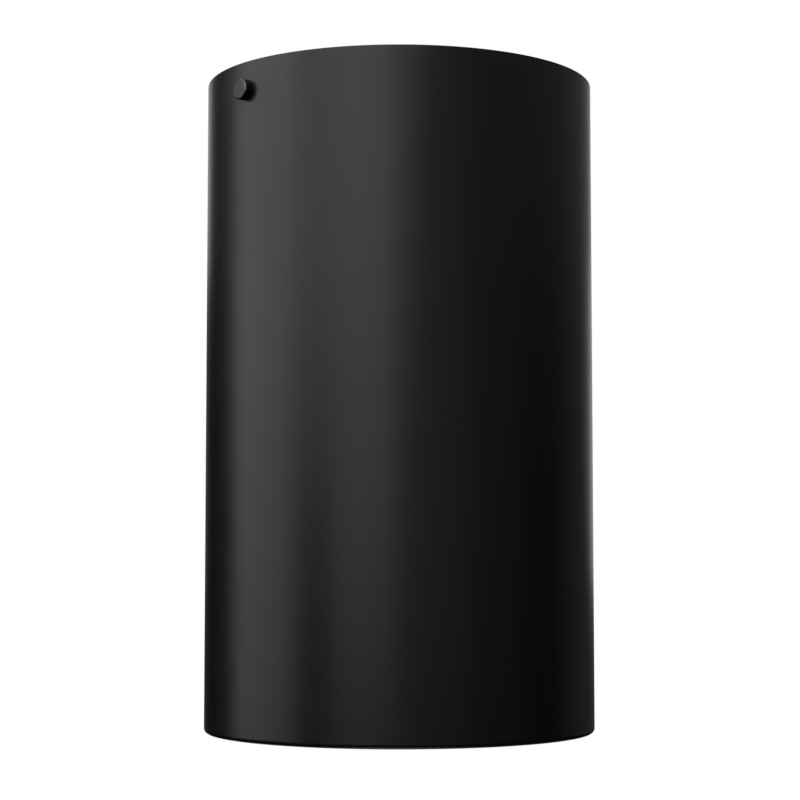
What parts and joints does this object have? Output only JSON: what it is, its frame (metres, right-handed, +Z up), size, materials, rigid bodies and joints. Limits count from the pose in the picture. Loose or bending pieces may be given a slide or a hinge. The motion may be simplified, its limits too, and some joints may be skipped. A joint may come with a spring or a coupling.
{
  "type": "ceiling cylinder light",
  "caption": "Flush ceiling cylinder downlight: a straight black tube shade clamped to a pressed pan by side thumbscrews, with a screw lampholder and opal lamp inside.",
  "frame": {"origin": "centre of the face that lies against the ceiling", "axes": "+Z up into the ceiling along the shade's axis; +X through the two thumbscrews"},
  "size_m": [0.1248, 0.12, 0.2005],
  "materials": {
    "black_powder_coat": "satin black powder coat on an aluminium tube",
    "blackened_steel": "black coated steel",
    "zinc_plated_steel": "bright zinc plating",
    "black_rubber": "moulded rubber",
    "black_moulding": "moulded thermoset, fine matt",
    "steatite": "unglazed steatite",
    "brass": "stamped brass",
    "white_polyamide": "natural polyamide",
    "brown_insulation": "extruded insulation, brown",
    "blue_insulation": "extruded insulation, blue",
    "green_yellow_insulation": "extruded insulation, green and yellow",
    "bare_copper": "bare copper wire",
    "tinned_copper": "tin plating",
    "opal_diffuser": "opal, fine matt",
    "white_moulding": "moulded white plastic",
    "nickel_plated_brass": "nickel plating",
    "black_glass": "fused black glass"
  },
  "bodies": {
    "ceiling_base": {"ceiling_pan": "zinc_plated_steel", "supply_grommet": "black_rubber", "lampholder_strap": "zinc_plated_steel", "strap_rivets": "zinc_plated_steel", "lampholder_nipple": "zinc_plated_steel", "nipple_lock_nut": "zinc_plated_steel", "lampholder_cap": "black_moulding", "lampholder_skirt": "black_moulding", "lampholder_insert": "steatite", "lampholder_screw_shell": "brass", "centre_contact": "brass", "side_contact": "brass", "contact_rivets": "brass", "terminal_block": "white_polyamide", "terminal_sleeves": "brass", "terminal_clamp_screws": "zinc_plated_steel", "terminal_fixing_screw": "zinc_plated_steel", "live_lead": "brown_insulation", "neutral_lead": "blue_insulation", "earth_lead": "green_yellow_insulation", "conductor_ends": "bare_copper", "earth_lug": "tinned_copper", "earth_screw": "zinc_plated_steel"},
    "shade": {"outer_shade": "black_powder_coat", "clinch_nuts": "zinc_plated_steel"},
    "thumbscrew_left": {"thumbscrew_left": "blackened_steel"},
    "thumbscrew_right": {"thumbscrew_right": "blackened_steel"},
    "lamp": {"lamp_globe": "opal_diffuser", "lamp_housing": "white_moulding", "lamp_screw_cap": "nickel_plated_brass", "lamp_cap_insulator": "black_glass", "lamp_contact": "brass"}
  },
  "joints": [
    {"name": "shade_slide", "type": "slide", "parent": "ceiling_base", "child": "shade", "axis": [0, 0, -1], "range_m": [0, 0.2]},
    {"name": "thumbscrew_left_travel", "type": "slide", "parent": "shade", "child": "thumbscrew_left", "axis": [-1, 0, 0], "range_m": [0, 0.004]},
    {"name": "thumbscrew_right_travel", "type": "slide", "parent": "shade", "child": "thumbscrew_right", "axis": [1, 0, 0], "range_m": [0, 0.004]},
    {"name": "lamp_removal", "type": "slide", "parent": "ceiling_base", "child": "lamp", "axis": [0, 0, -1], "range_m": [0, 0.2]}
  ]
}
